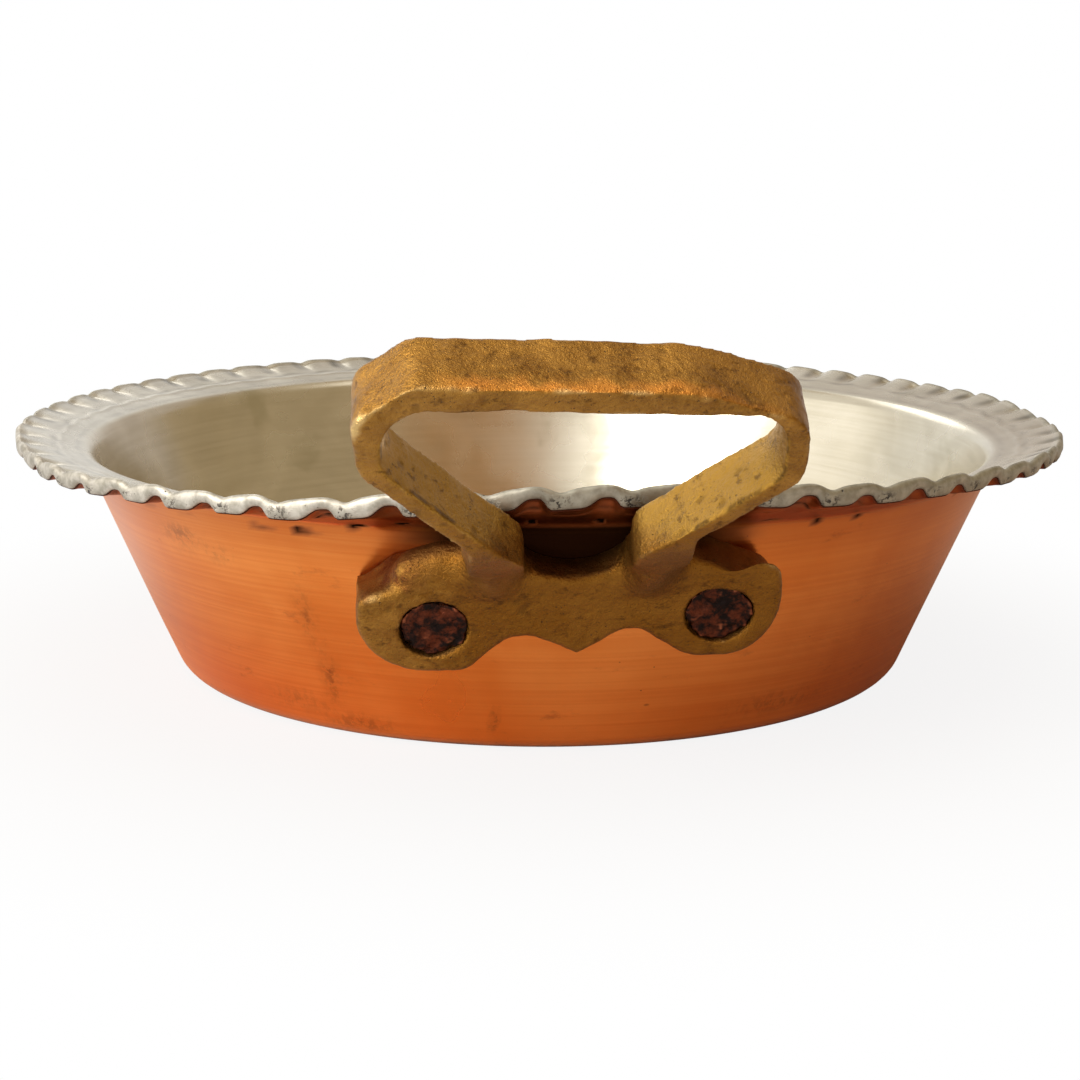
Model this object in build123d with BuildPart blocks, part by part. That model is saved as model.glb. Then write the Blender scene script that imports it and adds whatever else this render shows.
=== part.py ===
from build123d import *
from math import cos, hypot, pi, radians, sin, sqrt, tan
import os

# A tinned copper pan with a fluted flange and one cast brass loop handle, held by two rivets.
# The origin is the middle of the base's underside, +Z is up and the handle points along -Y.
# Lengths are in millimetres and angles in degrees.

# The bowl, measured on its outside
base_radius = 83.8  # where the line of the wall would meet the floor
wall_lean = 23.0  # how far the wall leans out from upright
root_height = 49.5  # from the floor to the underside of the flange at the wall
flange_width = 15.2  # from the top of the wall out to the lip
flange_slope = 18.5
copper_thickness = 1.8
tin_thickness = 0.3
base_bend = 3.5  # inside radius between base and wall
root_bend = 2.5  # underside radius between wall and flange

# The flutes crimped into the lip
flute_count = 60
flute_length = 9.0  # how far they run in from the lip
flute_height = 1.6  # from trough to crest at the lip
flute_thinning = 0.1  # what the crimping takes off each face

# The base plate of the handle, in the plane of its flat front
plate_thickness = 7.0  # over the wall, at the middle
plate_drop = 17.5  # from the flange's root down to the line of the rivets
handle_skew = 3.1  # the handle sits a little turned, right end up
rivet_spacing = 54.6
left_lobe = 14.1  # how far each lobe reaches out past its rivet
right_lobe = 11.8
lobe_drop = 10.3  # from the line of the rivets down to the lobes' lowest points
lobe_radius = 12.5
left_shoulder = 7.6  # the height of each lobe's outer top corner over the rivets
left_shoulder_radius = 3.5
right_shoulder = 12.4
right_shoulder_radius = 6.5
lobe_inside = 6.0  # from each rivet in to where its lobe turns up to the waist
lobe_inside_radius = 7.0
plate_top = 13.8  # the height of the upper edge beside the feet
plate_waist = 2.8  # the lower edge between lobes and point lies this far under the rivets
waist_half_width = 12.5
waist_radius = 4.5
point_half_width = 8.8
point_depth = 8.0
point_radius = 0.9
front_bevel = 0.8  # takes the sharpness off the plate's front edge
dip_depth = 3.6  # the hollow of the upper edge between the feet

# The loop, seen from the side
foot_climb = 16.0  # how steeply the feet leave the plate
foot_sink = 1.9  # how far under the plate's upper edge they start
loop_climb = 52.0  # how steeply the loop rises past the lip
strap_width = 12.0
bend_radius = 24.0  # under the strap, and above it
upper_bend_radius = 6.0
lip_clearance = 1.2
foot_headroom = 1.2  # between the feet and the underside of the flange

# The loop, seen square to its plane: across, and up from its bend
grip_half_width = 37.8
grip_height = 46.8  # the upper left corner, the highest
grip_fall = 4.6  # the top's drop from left to right, up to the round shoulder
shoulder_drop = 8.8  # from there down to the widest place
corner_run = 10.0  # the bevel at the upper left, across and down
corner_drop = 7.5
grip_thickness = 5.2
side_thickness = 4.0
left_leg_thickness = 3.4
right_leg_thickness = 2.9
foot_gap = 19.6
foot_width = 10.2
foot_knee = 5.0  # the height at which the feet turn out into the legs
left_leg_top = 26.8
right_leg_top = 20.0
knee_radius = 3.0  # the outline's corners, from the left foot round to the right one
left_hip_radius = 11.0
left_corner_radius = 6.0
shoulder_radius = 30.0
right_side_radius = 7.0
right_hip_radius = 8.0
gap_foot_radius = 7.0  # the finger gap's corners, in the same order
gap_left_hip_radius = 8.0
gap_left_corner_radius = 10.0
gap_right_corner_radius = 7.0
gap_right_hip_radius = 5.0

# The rivets
shank_radius = 4.2
sheet_hole_clearance = 0.1
inner_head_radius = 8.0
inner_head_height = 2.4
inner_head_edge = 0.7
peened_radius = 6.1
peened_thickness = 2.6
peened_sink = 0.6  # how far the hammered end lies below the plate's front
recess_clearance = 0.35

# Worked out from the sizes above
sheet = copper_thickness + tin_thickness
root_radius = base_radius + root_height * tan(radians(wall_lean))
rim_radius = root_radius + flange_width
flute_start = rim_radius - flute_length
pitch = 360 / flute_count
slope_rise = tan(radians(flange_slope))
wall_tangent = tan(radians(wall_lean))
head_rise = inner_head_height - inner_head_edge
dome_radius = (inner_head_radius**2 + head_rise**2) / (2 * head_rise)
lip_low = root_height + flange_width * slope_rise - flute_height / 2
trim = 2 * rim_radius
reach_past = 2.0

os.makedirs("parts", exist_ok=True)


def offset_corner(corner, into, out, depth):
    """Moves a corner between two directions, given in degrees, inwards by a depth of sheet."""
    first = (-sin(radians(into)), cos(radians(into)))
    second = (-sin(radians(out)), cos(radians(out)))
    share = depth / (1 + first[0] * second[0] + first[1] * second[1])
    return (corner[0] + share * (first[0] + second[0]), corner[1] + share * (first[1] + second[1]))


def flange_point(radius, depth):
    """A point of the flange's cone, a depth of sheet above its underside."""
    height = root_height + (radius - root_radius) * slope_rise + depth / cos(radians(flange_slope))
    return (radius, height)


def sheet_line(depth, end_radius):
    """Half of the bowl's section, a depth of sheet inside its outer face."""
    climb = 90 - wall_lean
    base_corner = offset_corner((base_radius, 0), 0, climb, depth)
    root_corner = offset_corner((root_radius, root_height), climb, flange_slope, depth)
    return FilletPolyline(
        (0, depth),
        base_corner,
        root_corner,
        flange_point(end_radius, depth),
        radius=[base_bend + sheet - depth, root_bend + depth],
    )


def layer_face(lower, upper, end_radius):
    """The half section of one layer of the sheet."""
    with BuildSketch(Plane.XZ) as face:
        with BuildLine():
            outside = sheet_line(lower, end_radius)
            inside = sheet_line(upper, end_radius)
            Line(outside @ 0, inside @ 0)
            Line(outside @ 1, inside @ 1)
        make_face()
    return face.sketch


def bowl_space(depth):
    """All that lies inside the sheet line at a depth, up to the lip."""
    with BuildPart() as space:
        with BuildSketch(Plane.XZ):
            with BuildLine():
                sheet_line(depth, rim_radius)
                lip = flange_point(rim_radius, depth)
                Polyline(lip, (0, lip[1]), (0, depth))
            make_face()
        revolve(axis=Axis.Z)
    return space.part


def wave_point(radius, height, across, depth, thinning):
    """A point of a flute's edge, seen along the radius: across runs from -1 to 1 over one flute."""
    side = radius * tan(radians(pitch / 2)) * across
    cone = flange_point(hypot(radius, side), depth)[1]
    return (side, cone + height / 2 * cos(pi * across) + thinning)


def flute(lower, upper, lower_thinning, upper_thinning):
    """One flute of a layer: straight at its inner end and a full wave at the lip."""
    stops = (-1, 0, 1)
    edge_fall = slope_rise * tan(radians(pitch / 2))
    with BuildPart() as one:
        with BuildSketch(Plane(origin=(flute_start, 0, 0), x_dir=(0, 1, 0), z_dir=(1, 0, 0))):
            with BuildLine():
                low = ThreePointArc(
                    *[wave_point(flute_start, 0, a, lower, lower_thinning) for a in stops]
                )
                high = ThreePointArc(
                    *[wave_point(flute_start, 0, a, upper, -upper_thinning) for a in stops]
                )
                Line(low @ 0, high @ 0)
                Line(low @ 1, high @ 1)
            make_face()
        with BuildSketch(Plane(origin=(rim_radius, 0, 0), x_dir=(0, 1, 0), z_dir=(1, 0, 0))):
            with BuildLine():
                low = Spline(
                    *[wave_point(rim_radius, flute_height, a, lower, lower_thinning) for a in stops],
                    tangents=((1, -edge_fall), (1, edge_fall)),
                )
                high = Spline(
                    *[wave_point(rim_radius, flute_height, a, upper, -upper_thinning) for a in stops],
                    tangents=((1, -edge_fall), (1, edge_fall)),
                )
                Line(low @ 0, high @ 0)
                Line(low @ 1, high @ 1)
            make_face()
        loft(ruled=True)
    return one.part


# The handle's own frame: its middle lies on the plate's front, level with the rivets
plate_height = root_height - plate_drop
plate_out = base_radius + plate_height * wall_tangent + plate_thickness / cos(radians(wall_lean))
level_front = Plane(
    origin=(0, -plate_out, plate_height),
    x_dir=(1, 0, 0),
    z_dir=(0, -cos(radians(wall_lean)), -sin(radians(wall_lean))),
)
front = Plane(level_front.location * Rotation(0, 0, handle_skew))
across = front.x_dir
outward = front.z_dir * cos(radians(wall_lean)) + front.y_dir * sin(radians(wall_lean))
upward = front.y_dir * cos(radians(wall_lean)) - front.z_dir * sin(radians(wall_lean))
side_view = Plane(origin=front.origin, x_dir=outward, z_dir=outward.cross(upward))


def wall_point(at):
    """Where the line through a point, square to the wall, leaves the wall's outer face."""
    distance = hypot(at.X, at.Y)
    off_wall = (distance - base_radius - at.Z * wall_tangent) * cos(radians(wall_lean))
    heading = Vector(at.X / distance, at.Y / distance, 0) * cos(radians(wall_lean))
    normal = heading - Vector(0, 0, sin(radians(wall_lean)))
    return at - normal * off_wall, normal, off_wall


def rivet_plane(side):
    """A plane on the wall's outer face at one rivet, looking out through the plate."""
    seat, normal, _ = wall_point(front.from_local_coords(Vector(side * rivet_spacing / 2, 0, 0)))
    return Plane(origin=seat, x_dir=Vector(0, 0, 1).cross(normal), z_dir=normal)


def plate_depth(side):
    """How thick the plate is along one rivet."""
    return wall_point(front.from_local_coords(Vector(side * rivet_spacing / 2, 0, 0)))[2]


def with_flutes(layer, one_flute):
    """A revolved layer, cut to a polygon at the flutes' inner ends, with its flutes added."""
    with BuildPart() as ring:
        add(layer)
        with BuildSketch():
            RegularPolygon(flute_start, flute_count, major_radius=False, rotation=pitch / 2)
        extrude(amount=trim, mode=Mode.INTERSECT)
        with PolarLocations(0, flute_count):
            add(one_flute)
        for side in (-1, 1):
            with BuildSketch(rivet_plane(side)):
                Circle(shank_radius + sheet_hole_clearance)
            extrude(amount=reach_past + sheet, both=True, mode=Mode.SUBTRACT)
    return ring.part


band_end = flute_start / cos(radians(pitch / 2)) + reach_past

# The copper sheet: base, wall and flange in one, with its lip crimped into flutes
with BuildPart() as copper_layer:
    add(layer_face(0, copper_thickness, band_end))
    revolve(axis=Axis.Z)

with BuildPart() as pan_body:
    add(with_flutes(copper_layer.part, flute(0, copper_thickness, flute_thinning, flute_thinning)))

# The tinning, wiped over the inside and the flange down to the tips of its flutes
with BuildPart() as tin_layer:
    add(layer_face(copper_thickness, sheet, band_end))
    revolve(axis=Axis.Z)

with BuildPart() as tin_lining:
    add(with_flutes(tin_layer.part, flute(copper_thickness, sheet, -flute_thinning, flute_thinning)))

# The handle: a two-lobed plate and a loop, one casting
foot_outside = foot_gap / 2 + foot_width
left_end = rivet_spacing / 2 + left_lobe
right_end = rivet_spacing / 2 + right_lobe
lobe_turn = rivet_spacing / 2 - lobe_inside
dip_half = foot_gap / 2
dip_radius = (dip_half**2 + dip_depth**2) / (2 * dip_depth)
wall_falls_back = base_radius - sqrt(base_radius**2 - left_end**2)
wall_reach = plate_thickness + wall_falls_back + reach_past


def crossing(start, climb, other, other_climb):
    """Where two lines of the side view meet."""
    slope, other_slope = tan(radians(climb)), tan(radians(other_climb))
    x = (other[1] - start[1] + slope * start[0] - other_slope * other[0]) / (slope - other_slope)
    return (x, start[1] + slope * (x - start[0]))


def side_point(radius, height):
    """A point of the pan's section, in the side view's own coordinates."""
    return (radius - plate_out, height - plate_height)


def laid_over(start, end, thickness, at):
    """The point, at one place across, of a line laid a thickness above the one from start to end."""
    slope = (end[1] - start[1]) / (end[0] - start[0])
    return (at, start[1] + slope * (at - start[0]) + thickness * hypot(1, slope))


# Side view of the loop: out under the lip, then up past it
climb = radians(loop_climb)
over_lip = side_point(rim_radius + lip_clearance, lip_low)
under_strap = (over_lip[0] + strap_width * sin(climb), over_lip[1] - strap_width * cos(climb))
plate_edge = (plate_top * sin(radians(wall_lean)), plate_top * cos(radians(wall_lean)) - foot_sink)
root_under = side_point(root_radius, root_height)
foot_top = (root_under[0], root_under[1] - foot_headroom)
lower_bend = crossing(plate_edge, foot_climb, under_strap, loop_climb)
upper_bend = crossing(foot_top, foot_climb, over_lip, loop_climb)
strap_run = (trim * cos(climb), trim * sin(climb))
foot_run = (plate_thickness + reach_past, (plate_thickness + reach_past) * tan(radians(foot_climb)))

with BuildPart() as loop:
    with BuildSketch(side_view):
        with BuildLine():
            lower = FilletPolyline(
                (plate_edge[0] - foot_run[0], plate_edge[1] - foot_run[1]),
                lower_bend,
                (lower_bend[0] + strap_run[0], lower_bend[1] + strap_run[1]),
                radius=bend_radius,
            )
            upper = FilletPolyline(
                (foot_top[0] - foot_run[0], foot_top[1] - foot_run[1]),
                upper_bend,
                (upper_bend[0] + strap_run[0], upper_bend[1] + strap_run[1]),
                radius=upper_bend_radius,
            )
            Line(lower @ 0, upper @ 0)
            Line(lower @ 1, upper @ 1)
        make_face()
    extrude(amount=grip_half_width + reach_past, both=True)
    # The loop's outline and finger gap, cut square to its plane
    bend = side_view.from_local_coords(Vector(lower_bend[0], lower_bend[1], 0))
    rise = outward * cos(climb) + upward * sin(climb)
    loop_plane = Plane(origin=bend, x_dir=across, z_dir=across.cross(rise))
    foot_span = strap_width + bend_radius
    left_foot = (-foot_outside, foot_knee)
    left_hip = (-grip_half_width, left_leg_top)
    top_left = (-grip_half_width + corner_run, grip_height)
    top_right = (grip_half_width / 2, grip_height - grip_fall)
    right_hip = (grip_half_width, right_leg_top)
    right_foot = (foot_outside, foot_knee)
    gap_side = grip_half_width - side_thickness
    gap_foot = foot_gap / 2
    with BuildSketch(loop_plane) as strap:
        with BuildLine():
            FilletPolyline(
                (-foot_outside, -foot_span),
                left_foot,
                left_hip,
                (-grip_half_width, grip_height - corner_drop),
                top_left,
                top_right,
                (grip_half_width, grip_height - grip_fall - shoulder_drop),
                right_hip,
                right_foot,
                (foot_outside, -foot_span),
                radius=[
                    0,
                    knee_radius,
                    left_hip_radius,
                    left_corner_radius,
                    left_corner_radius,
                    shoulder_radius,
                    right_side_radius,
                    right_hip_radius,
                    knee_radius,
                    0,
                ],
                close=True,
            )
        make_face()
        with BuildLine():
            FilletPolyline(
                (-gap_foot, -foot_span - reach_past),
                laid_over(left_foot, left_hip, left_leg_thickness, -gap_foot),
                laid_over(left_foot, left_hip, left_leg_thickness, -gap_side),
                laid_over(top_left, top_right, -grip_thickness, -gap_side),
                laid_over(top_left, top_right, -grip_thickness, gap_side),
                laid_over(right_foot, right_hip, right_leg_thickness, gap_side),
                laid_over(right_foot, right_hip, right_leg_thickness, gap_foot),
                (gap_foot, -foot_span - reach_past),
                radius=[
                    0,
                    gap_foot_radius,
                    gap_left_hip_radius,
                    gap_left_corner_radius,
                    gap_right_corner_radius,
                    gap_right_hip_radius,
                    gap_foot_radius,
                    0,
                ],
                close=True,
            )
        make_face(mode=Mode.SUBTRACT)
    extrude(amount=trim, both=True, mode=Mode.INTERSECT)

with BuildPart() as handle:
    with BuildSketch(front):
        with BuildLine():
            FilletPolyline(
                (-left_end, left_shoulder),
                (-left_end, -lobe_drop),
                (-lobe_turn, -lobe_drop),
                (-waist_half_width, -plate_waist),
                (-point_half_width, -plate_waist),
                (0, -point_depth),
                (point_half_width, -plate_waist),
                (waist_half_width, -plate_waist),
                (lobe_turn, -lobe_drop),
                (right_end, -lobe_drop),
                (right_end, right_shoulder),
                (foot_outside, plate_top),
                (-foot_outside, plate_top),
                radius=[
                    left_shoulder_radius,
                    lobe_radius,
                    lobe_inside_radius,
                    waist_radius,
                    waist_radius,
                    point_radius,
                    waist_radius,
                    waist_radius,
                    lobe_inside_radius,
                    lobe_radius,
                    right_shoulder_radius,
                    waist_radius,
                    waist_radius,
                ],
                close=True,
            )
        make_face()
        with Locations((0, plate_top + dip_radius - dip_depth)):
            Circle(dip_radius, mode=Mode.SUBTRACT)
    extrude(amount=-wall_reach)
    plate_front = faces().sort_by(Axis(front.origin, front.z_dir))[-1]
    chamfer(plate_front.edges(), length=front_bevel)
    add(loop.part)
    add(bowl_space(0), mode=Mode.SUBTRACT)
    # Recesses for the rivets' hammered ends
    for side in (-1, 1):
        with BuildSketch(rivet_plane(side).offset(plate_depth(side) - peened_sink - peened_thickness)):
            Circle(peened_radius + recess_clearance)
        extrude(amount=trim, mode=Mode.SUBTRACT)
        with BuildSketch(rivet_plane(side).offset(-sheet)):
            Circle(shank_radius + sheet_hole_clearance)
        extrude(amount=sheet + plate_depth(side), mode=Mode.SUBTRACT)


def rivet(side):
    """A rivet: a low head on the tin, a shank, and a hammered end level with the plate's front."""
    seat = rivet_plane(side)
    end = plate_depth(side) - peened_sink
    section = Plane(origin=seat.origin, x_dir=seat.x_dir, z_dir=-seat.y_dir)
    with BuildPart() as one:
        with BuildSketch(section):
            with BuildLine():
                head_edge = (inner_head_radius, -sheet - inner_head_edge)
                head_top = (0, -sheet - inner_head_height)
                RadiusArc(head_top, head_edge, -dome_radius)
                Polyline(head_edge, (inner_head_radius, 0), (0, 0), head_top)
            make_face()
        revolve(axis=Axis(seat.origin, seat.z_dir))
        add(bowl_space(sheet), mode=Mode.INTERSECT)
        with BuildSketch(seat.offset(-sheet - inner_head_edge)):
            Circle(shank_radius)
        extrude(amount=end + sheet)
        with BuildSketch(seat.offset(end - peened_thickness)):
            Circle(peened_radius)
        extrude(amount=peened_thickness + reach_past)
        split(bisect_by=front.offset(-peened_sink), keep=Keep.BOTTOM)
    return one.part


with BuildPart() as rivet_left:
    add(rivet(-1))

with BuildPart() as rivet_right:
    add(rivet(1))

pieces = {
    "pan_body": pan_body,
    "tin_lining": tin_lining,
    "handle": handle,
    "rivet_left": rivet_left,
    "rivet_right": rivet_right,
}
for name, piece in pieces.items():
    piece.part.label = name
    export_step(piece.part, f"parts/{name}.step")
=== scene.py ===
"""A tinned copper pan with a fluted flange and a cast brass loop handle, around its CAD frame.

Everything is in metres in the CAD's frame: +Z is up, the handle points along -Y, and the middle of the
base's underside is the origin. Shapes are worked out in millimetres and scaled as they become meshes.
"""

import math

import bmesh
import bpy
import numpy as np
from mathutils import Matrix, Vector


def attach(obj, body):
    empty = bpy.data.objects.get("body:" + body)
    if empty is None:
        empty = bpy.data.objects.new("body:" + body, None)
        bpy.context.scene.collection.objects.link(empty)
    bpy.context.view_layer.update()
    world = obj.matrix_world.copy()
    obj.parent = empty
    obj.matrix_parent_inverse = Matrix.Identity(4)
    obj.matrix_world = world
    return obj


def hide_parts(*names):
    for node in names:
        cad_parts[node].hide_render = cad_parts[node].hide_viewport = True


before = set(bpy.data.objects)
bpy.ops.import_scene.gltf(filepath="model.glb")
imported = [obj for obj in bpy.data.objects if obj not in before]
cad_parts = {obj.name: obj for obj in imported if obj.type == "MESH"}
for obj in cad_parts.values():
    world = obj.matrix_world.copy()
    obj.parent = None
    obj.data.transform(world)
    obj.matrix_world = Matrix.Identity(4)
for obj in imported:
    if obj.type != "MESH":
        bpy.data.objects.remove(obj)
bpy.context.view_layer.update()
mm = 0.001

# The pan's sizes in millimetres, as in the CAD
base_radius = 83.8
wall_lean = math.radians(23)
root_height = 49.5
flange_width = 15.2
flange_slope = math.radians(18.5)
copper_thickness = 1.8
sheet = 2.1  # the copper and its tin
base_bend = 3.5
root_bend = 2.5
root_radius = base_radius + root_height * math.tan(wall_lean)
rim_radius = root_radius + flange_width
loop_climb = math.radians(52)
handle_at = math.radians(-90)  # the handle's place round the pan

# The steps of the sheet's mesh
base_steps = (4, 10, 18, 28, 38, 48, 58, 66, 72, 76)  # the radii of the base's rings
wall_shares = (0.08, 0.17, 0.26, 0.35, 0.44, 0.53, 0.62, 0.71, 0.79, 0.86, 0.91, 0.94, 0.96, 0.98)
fine_from = 107.3  # the radius where the mesh becomes fine
fine_rings = 27  # how many rings it has from there to the lip
steps_round = 1240  # around the flange
coarse_share = 4  # the wall and base have one step for this many of the flange's
coarse_steps = steps_round // coarse_share

# The hand-crimped flutes
flute_count = 62  # around the rim
flute_spread = 5.66  # fewer per turn at the front, where they are wider
crest_at = math.radians(-94.5)  # where one crest lies
flute_inner = 110.0  # the radius where the flutes start
flute_full = 118.2  # and where they are as high as at the lip
# Where the flutes are softer: degrees round the rim, how much lower they are, and how wide the place is.
flute_softer = ((140, 0.50, 0.75), (45, 0.10, 0.6), (-8, 0.45, 0.5), (-176, 0.35, 0.35))
top_height = 0.60  # half of the wave's height on the tin, and on the copper below
under_height = 1.02
# Brown marks on the wall: degrees, height, half width and half height in millimetres, strength.
wall_marks = (
    (-140.3, 41.4, 6.0, 2.0, 0.60),
    (-134.3, 40.0, 4.0, 1.3, 0.50),
    (-123.1, 28.0, 1.8, 5.0, 0.50),
    (-122.0, 14.5, 1.6, 5.0, 0.60),
    (-128.7, 6.0, 8.0, 1.5, 0.45),
    (-119.3, 3.3, 7.0, 1.0, 0.50),
    (-100.1, 7.0, 0.5, 0.5, 1.0),
    (-99.8, 4.4, 0.6, 0.6, 1.0),
    (-58.8, 7.3, 12.0, 1.8, 0.35),
)
# Metal that the casting has where its feet leave the plate: rows of balls from a point to a point,
# with the first and the last ball's radius.
foot_mounds = (
    ((-20.5, -128.0, 51.5), (-15.5, -109.0, 42.0), 2.6, 3.5),
    ((-31.0, -104.5, 42.0), (-19.0, -106.5, 44.6), 4.2, 4.3),
    ((16.0, -128.0, 51.5), (12.0, -110.0, 42.0), 2.6, 3.5),
    ((16.0, -106.8, 44.4), (24.0, -105.0, 42.5), 4.2, 3.6),
)
# How the tops of the plate's two lobes really run: how much higher they are at each place across the plate.
lobe_places = (-41, -38, -35, -30, -26, -22, -18, 18, 22, 25, 28, 33, 38)
lobe_lifts = (-5.0, -2.6, -0.2, 0.8, 1.2, 0.6, 0.0, 0.0, -0.5, -1.2, -2.6, -4.8, -6.0)
# How much higher (or lower) than a true cone the lip lies at each angle, in degrees and millimetres.
left_angles, left_lifts = (-180, -168, -150, -137, -130, -118), (-1.35, -1.7, -2.3, -1.5, -1.1, -0.5)
front_angles, front_lifts = (-106, -99, -94, -87, -80, -70, -60), (1.4, 3.0, 3.9, 4.1, 3.7, 2.4, 1.1)
right_angles, right_lifts = (-45, -35, -15, 0, 12, 26, 40), (0.4, -0.5, -1.7, -2.2, -1.5, -2.0, -2.1)
back_angles, back_lifts = (60, 90, 115, 130, 145, 160), (-1.9, -1.6, -1.3, -1.4, -1.6, -1.6)


# Small helpers
def smooth(low, high, value):
    """A soft step from 0 at low to 1 at high."""
    t = np.clip((value - low) / (high - low), 0, 1)
    return t * t * (3 - 2 * t)


def waves(points, seed, size, count=24):
    """Soft seeded noise of about unit height: a sum of plane waves of about one size, in millimetres."""
    rng = np.random.default_rng(seed)
    heading = rng.normal(size=(count, 3))
    heading /= np.linalg.norm(heading, axis=1)[:, None]
    number = 2 * np.pi / (size * rng.uniform(0.7, 1.5, count))
    start = rng.uniform(0, 2 * np.pi, count)
    total = np.zeros(len(points))
    for way, rate, phase in zip(heading, number, start):
        total += np.sin(points @ way * rate + phase)
    return total / math.sqrt(count / 2)


def wrapped(angle):
    """An angle brought to within half a turn of zero."""
    return np.mod(angle + np.pi, 2 * np.pi) - np.pi


def wander(rng, angle, low, high, counts, shift=0.0):
    """A line that wanders round the pan: seeded sine waves, one for each count of waves in a turn."""
    full_turn = 6.28
    return sum(
        rng.uniform(low, high) * np.sin(k * angle + rng.uniform(0, full_turn) + shift) for k in counts
    )


def piece_from(name, points, faces, material):
    """A new smooth-shaded object from points in millimetres."""
    mesh = bpy.data.meshes.new(name)
    mesh.from_pydata(np.asarray(points) * mm, [], faces)
    mesh.materials.append(material)
    mesh.shade_smooth()
    mesh.validate()
    piece = bpy.data.objects.new(name, mesh)
    bpy.context.collection.objects.link(piece)
    return piece


# Materials
class Nodes:
    """Short names for building the node tree of one material, or of the world."""

    def __init__(self, owner, end="OutputMaterial"):
        self.owner = owner
        owner.use_nodes = True
        self.tree = owner.node_tree
        self.tree.nodes.clear()
        self.end = self.node(end)

    def node(self, kind, **settings):
        """A new shader node of a kind, with its settings."""
        made = self.tree.nodes.new("ShaderNode" + kind)
        for key, value in settings.items():
            setattr(made, key, value)
        return made

    def link(self, source, target):
        """Joins an output to an input."""
        self.tree.links.new(source, target)

    def feed(self, target, value):
        """Joins an output to a socket, or sets the socket if the value is a number or a colour."""
        if isinstance(value, bpy.types.NodeSocket):
            self.link(value, target)
        elif isinstance(value, (tuple, list)) and len(value) == 3 and target.type == "RGBA":
            target.default_value = (*value, 1)
        else:
            target.default_value = value

    def math(self, operation, first, second=0.5):
        """One step of arithmetic on two values."""
        made = self.node("Math", operation=operation)
        self.feed(made.inputs[0], first)
        self.feed(made.inputs[1], second)
        return made.outputs[0]

    def ramp(self, value, low, high, bottom=0.0, top=1.0):
        """A soft step of a value from low to high."""
        made = self.node("MapRange", interpolation_type="SMOOTHSTEP")
        for socket, part in zip(made.inputs, (value, low, high, bottom, top)):
            self.feed(socket, part)
        return made.outputs[0]

    def total(self, start, *parts):
        """A number plus shares, each times its weight."""
        for share, weight in parts:
            start = self.math("ADD", start, self.math("MULTIPLY", share, weight))
        return start

    def mix(self, share, first, second):
        """A colour between two others, by a share."""
        made = self.node("Mix", data_type="RGBA")
        self.feed(made.inputs["Factor"], share)
        self.feed(made.inputs[6], first)
        self.feed(made.inputs[7], second)
        return made.outputs[2]

    def layered(self, colour, *layers):
        """A colour with others over it, each by a share times its strength."""
        for share, strength, over in layers:
            colour = self.mix(self.math("MULTIPLY", share, strength), colour, over)
        return colour

    def towards(self, vector, way, low, high, bottom=0.0, top=1.0):
        """A soft step of how far a vector points one way."""
        made = self.node("VectorMath", operation="DOT_PRODUCT")
        self.link(vector, made.inputs[0])
        made.inputs[1].default_value = way
        return self.ramp(made.outputs["Value"], low, high, bottom, top)

    def place(self, scale=(1, 1, 1)):
        """The object's own coordinates, in millimetres, stretched by a scale."""
        coordinates = self.node("TexCoord").outputs["Object"]
        made = self.node("Mapping")
        made.inputs["Scale"].default_value = [1000 * s for s in scale]
        self.link(coordinates, made.inputs["Vector"])
        return made.outputs[0]

    def noise(self, vector, scale, detail=3.0, roughness=0.55, distortion=0.0, low=0.3, high=0.7):
        """Noise, spread from 0 to 1 between two of its levels."""
        made = self.node("TexNoise")
        self.feed(made.inputs["Vector"], vector)
        made.inputs["Scale"].default_value = scale
        made.inputs["Detail"].default_value = detail
        made.inputs["Roughness"].default_value = roughness
        made.inputs["Distortion"].default_value = distortion
        return self.ramp(made.outputs["Fac"], low, high)

    def specks(self, vector, scale, radius, share):
        """Small round spots in a share of a Voronoi texture's cells."""
        made = self.node("TexVoronoi")
        self.feed(made.inputs["Vector"], vector)
        made.inputs["Scale"].default_value = scale
        near = self.ramp(made.outputs["Distance"], radius, radius * 0.35)
        chosen = self.node("SeparateColor")
        self.link(made.outputs["Color"], chosen.inputs[0])
        return self.math("MULTIPLY", near, self.math("LESS_THAN", chosen.outputs[0], share))

    def attribute(self, name):
        """A share that was stored on the piece's points."""
        return self.node("Attribute", attribute_name=name).outputs["Fac"]

    def bump(self, height, distance, strength=1.0, normal=None):
        """A bump; the height is 0 to 1 and the distance is in millimetres."""
        made = self.node("Bump")
        made.inputs["Strength"].default_value = strength
        made.inputs["Distance"].default_value = distance * mm
        self.link(height, made.inputs["Height"])
        if normal is not None:
            self.link(normal, made.inputs["Normal"])
        return made.outputs[0]

    def round_place(self, around, along):
        """Coordinates that follow the turned sheet: noise in them runs in rings round the pan."""
        separate = self.node("SeparateXYZ")
        self.link(self.place(), separate.inputs[0])
        x, y, z = separate.outputs
        height_share = 2.3  # on the steep wall the lines are counted mostly by height
        squares = self.math("ADD", self.math("MULTIPLY", x, x), self.math("MULTIPLY", y, y))
        radius = self.math("SQRT", squares)
        combine = self.node("CombineXYZ")
        run = self.math("ADD", radius, self.math("MULTIPLY", z, height_share))
        self.link(self.math("MULTIPLY", self.math("DIVIDE", x, radius), around), combine.inputs[0])
        self.link(self.math("MULTIPLY", self.math("DIVIDE", y, radius), around), combine.inputs[1])
        self.link(self.math("MULTIPLY", run, along), combine.inputs[2])
        return combine.outputs[0]

    def finish(self, **sockets):
        """The surface, with a value for each named socket."""
        shader = self.node("BsdfPrincipled")
        for key, value in sockets.items():
            self.feed(shader.inputs[key.replace("_", " ")], value)
        self.link(shader.outputs[0], self.end.inputs["Surface"])
        return self.owner


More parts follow.
